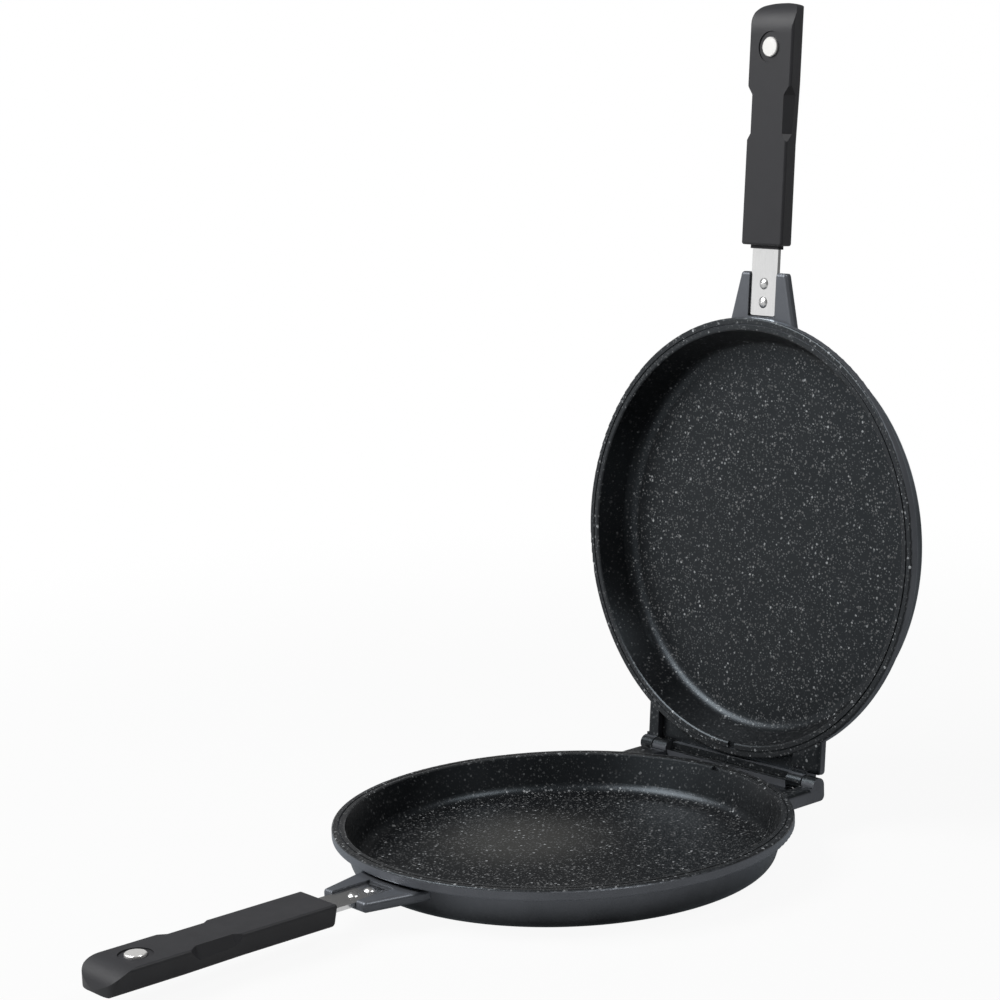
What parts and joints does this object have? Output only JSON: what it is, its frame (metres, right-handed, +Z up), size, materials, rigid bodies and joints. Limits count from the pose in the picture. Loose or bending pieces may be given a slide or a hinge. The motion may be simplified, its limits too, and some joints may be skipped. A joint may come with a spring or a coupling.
{
  "type": "double sided flip pan",
  "caption": "Hinged double frying pan: two round dished cast pans that close on each other, each with a riveted tang and a moulded grip with a magnet.",
  "frame": {"origin": "centre of the lower pan's flat base, on the plane it stands on", "axes": "+Z up out of the lower pan's mouth, -Y along the lower grip, +X along the hinge's axis to the right seen from the grip"},
  "size_m": [0.25, 0.4899, 0.4536],
  "materials": {
    "cast_body": "cast aluminium under a black speckled non-stick coat",
    "tang_steel": "satin",
    "rivet_steel": "polished",
    "grip_plastic": "satin moulded thermoset plastic",
    "magnet_plate": "bright nickel plate",
    "pin_steel": "turned"
  },
  "bodies": {
    "lower_half": {"lower_pan": "cast_body", "lower_tang": "tang_steel", "lower_tang_rivet_inner": "rivet_steel", "lower_tang_rivet_outer": "rivet_steel", "lower_grip": "grip_plastic", "lower_magnet": "magnet_plate", "lower_grip_screw": "rivet_steel", "lower_hinge_pin": "pin_steel"},
    "upper_half": {"upper_pan": "cast_body", "upper_tang": "tang_steel", "upper_tang_rivet_inner": "rivet_steel", "upper_tang_rivet_outer": "rivet_steel", "upper_grip": "grip_plastic", "upper_magnet": "magnet_plate", "upper_grip_screw": "rivet_steel", "upper_hinge_pin": "pin_steel"}
  },
  "joints": [
    {"name": "pan_hinge", "type": "hinge", "parent": "lower_half", "child": "upper_half", "pos_m": [0, 0.1296, 0.0276], "axis": [1, 0, 0], "range_deg": [0, 95.7]}
  ]
}
